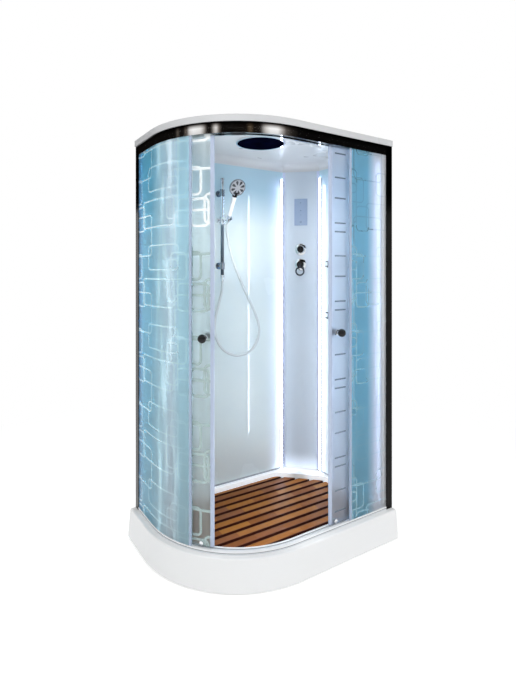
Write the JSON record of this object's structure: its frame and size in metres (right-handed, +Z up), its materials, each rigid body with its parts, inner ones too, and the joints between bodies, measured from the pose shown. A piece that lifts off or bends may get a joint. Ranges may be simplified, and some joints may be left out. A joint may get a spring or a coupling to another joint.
{
  "type": "steam shower cabin",
  "caption": "Corner shower cabin with steam: quadrant tray with timber duckboard, two sliding glass doors on rollers, lit wall panels, mixer column, rail shower, ceiling shower and roof fan.",
  "frame": {"origin": "centre of the footprint at floor level, between the outermost points of the tray's foot", "axes": "+Z up, +X along the long back wall towards the corner of the room, +Y from the doors to the back wall"},
  "size_m": [1.212, 0.812, 2.1943],
  "materials": {
    "acrylic_white": "glossy white sanitary acrylic",
    "steel_zinc": "zinc plated steel",
    "rubber_black": "matt black rubber",
    "plastic_white": "white moulded plastic",
    "steel_bright": "polished steel",
    "teak": "oiled finger-jointed teak",
    "rail_chrome": "polished chrome on aluminium",
    "rail_silver": "silver anodised aluminium",
    "profile_dark": "dark polished aluminium",
    "glass_blue": "blue-green satin safety glass with clear lines",
    "glass_door": "pale satin safety glass",
    "seal_clear": "translucent soft plastic",
    "chrome": "polished chrome",
    "knob_black": "glossy black knobs on chrome feet",
    "panel_gloss": "glossy pale acrylic wall sheet",
    "column_satin": "satin light grey sheet",
    "trim_white": "glossy white strip",
    "control_grey": "grey touch panel",
    "brass": "plain brass",
    "handle_white": "white handle, chrome rim",
    "spray_grey": "grey spray face",
    "hose_silver": "smooth silver-white hose",
    "shelf_glass": "clear shelf glass",
    "led_opal": "opal light strip, cool white",
    "navy_face": "glossy navy spray face",
    "steel_tank": "brushed stainless steel"
  },
  "bodies": {
    "cabin": {"tray_shell": "acrylic_white", "support_frame": "steel_zinc", "foot_screws": "steel_zinc", "foot_pads": "rubber_black", "drain_body": "plastic_white", "drain_grid": "steel_bright", "rail_top": "rail_chrome", "rail_bottom": "rail_silver", "wall_profile_left": "profile_dark", "wall_profile_right": "profile_dark", "glass_left_fixed": "glass_blue", "glass_right_fixed": "glass_blue", "fixed_seals": "seal_clear", "back_panel": "panel_gloss", "side_panel": "panel_gloss", "wall_frames": "rail_silver", "column_panel": "column_satin", "column_trims": "trim_white", "control_panel": "control_grey", "control_plates": "chrome", "valve_body": "brass", "riser_tube": "chrome", "riser_brackets": "chrome", "hose_outlet": "chrome", "shower_hose": "hose_silver", "shelf_glasses": "shelf_glass", "shelf_rails": "chrome", "led_channels": "rail_silver", "led_diffusers": "led_opal", "roof_shell": "acrylic_white", "overhead_rim": "chrome", "overhead_face": "navy_face", "fan_grille": "plastic_white", "fan_housing": "plastic_white", "steam_generator": "steel_tank", "steam_line": "steel_bright", "power_unit": "plastic_white"},
    "duckboard": {"duckboard_slats": "teak", "duckboard_battens": "teak"},
    "door_left": {"door_left_glass": "glass_door", "door_left_carriers": "chrome", "door_left_knobs": "knob_black", "door_left_seals": "seal_clear"},
    "door_right": {"door_right_glass": "glass_door", "door_right_carriers": "chrome", "door_right_knobs": "knob_black", "door_right_seals": "seal_clear"},
    "roller_left_lead": {"door_left_wheel_lead": "plastic_white"},
    "roller_left_trail": {"door_left_wheel_trail": "plastic_white"},
    "roller_right_lead": {"door_right_wheel_lead": "plastic_white"},
    "roller_right_trail": {"door_right_wheel_trail": "plastic_white"},
    "diverter": {"diverter_knob": "chrome"},
    "mixer": {"mixer_turret": "chrome"},
    "mixer_lever": {"mixer_lever": "chrome"},
    "slider": {"slider_block": "chrome"},
    "slider_lock": {"slider_knob": "chrome"},
    "cradle": {"handset_cradle": "chrome"},
    "handset": {"handset_body": "handle_white"},
    "spray_face": {"handset_face": "spray_grey"},
    "fan": {"fan_rotor": "plastic_white"}
  },
  "joints": [
    {"name": "door_left_turn", "type": "hinge", "parent": "cabin", "child": "door_left", "pos_m": [-0.044, 0.156, 1.14], "axis": [0, 0, 1], "range_deg": [0, 45.11]},
    {"name": "door_right_slide", "type": "slide", "parent": "cabin", "child": "door_right", "axis": [-1, 0, 0], "range_m": [0, 0.2142]},
    {"name": "roller_left_lead_spin", "type": "hinge", "parent": "door_left", "child": "roller_left_lead", "pos_m": [-0.42652, -0.13891, 2.0911], "axis": [0.792, 0.6106, 0], "range_deg": [0, 2421.9]},
    {"name": "roller_left_trail_spin", "type": "hinge", "parent": "door_left", "child": "roller_left_trail", "pos_m": [-0.52101, 0.23181, 2.0911], "axis": [0.9876, -0.157, 0], "range_deg": [0, 2421.9]},
    {"name": "roller_right_lead_spin", "type": "hinge", "parent": "door_right", "child": "roller_right_lead", "pos_m": [0.213, -0.327, 2.0911], "axis": [0, -1, 0], "range_deg": [0, 1364.6]},
    {"name": "roller_right_trail_spin", "type": "hinge", "parent": "door_right", "child": "roller_right_trail", "pos_m": [0.49, -0.327, 2.0911], "axis": [0, -1, 0], "range_deg": [0, 1364.6]},
    {"name": "diverter_turn", "type": "hinge", "parent": "cabin", "child": "diverter", "pos_m": [0.48186, 0.28186, 1.582], "axis": [-0.7071, -0.7071, 0], "range_deg": [-90, 90]},
    {"name": "mixer_turn", "type": "hinge", "parent": "cabin", "child": "mixer", "pos_m": [0.48186, 0.28186, 1.484], "axis": [-0.7071, -0.7071, 0], "range_deg": [-50, 50]},
    {"name": "mixer_lift", "type": "hinge", "parent": "mixer", "child": "mixer_lever", "pos_m": [0.45852, 0.25852, 1.484], "axis": [-0.7071, 0.7071, 0], "range_deg": [0, 25]},
    {"name": "slider_slide", "type": "slide", "parent": "cabin", "child": "slider", "axis": [0, 0, 1], "range_m": [-0.22, 0.11], "deforming": ["shower_hose"]},
    {"name": "slider_lock_turn", "type": "hinge", "parent": "slider", "child": "slider_lock", "pos_m": [-0.089, 0.331, 1.738], "axis": [-1, 0, 0], "range_deg": [-90, 90]},
    {"name": "cradle_tilt", "type": "hinge", "parent": "slider", "child": "cradle", "pos_m": [-0.066, 0.253, 1.745], "axis": [1, 0, 0], "range_deg": [-15, 15]},
    {"name": "handset_lift", "type": "slide", "parent": "cradle", "child": "handset", "axis": [0, -0.4848, 0.8746], "range_m": [0, 0.08]},
    {"name": "spray_face_turn", "type": "hinge", "parent": "handset", "child": "spray_face", "pos_m": [-0.066, 0.16089, 1.91118], "axis": [0, -0.8746, -0.4848], "range_deg": [-45, 45]},
    {"name": "fan_spin", "type": "hinge", "parent": "cabin", "child": "fan", "pos_m": [0.286, -0.139, 2.175], "axis": [0, 0, 1], "continuous": true},
    {"name": "duckboard_lift", "type": "slide", "parent": "cabin", "child": "duckboard", "axis": [0, 0, 1], "range_m": [0, 0.25]}
  ],
  "couplings": [
    {"joint": "roller_left_lead_spin", "follows": "door_left_turn", "ratio": 53.667},
    {"joint": "roller_left_trail_spin", "follows": "door_left_turn", "ratio": 53.667},
    {"joint": "roller_right_lead_spin", "follows": "door_right_slide", "rad_per_m": 111.11},
    {"joint": "roller_right_trail_spin", "follows": "door_right_slide", "rad_per_m": 111.11}
  ]
}
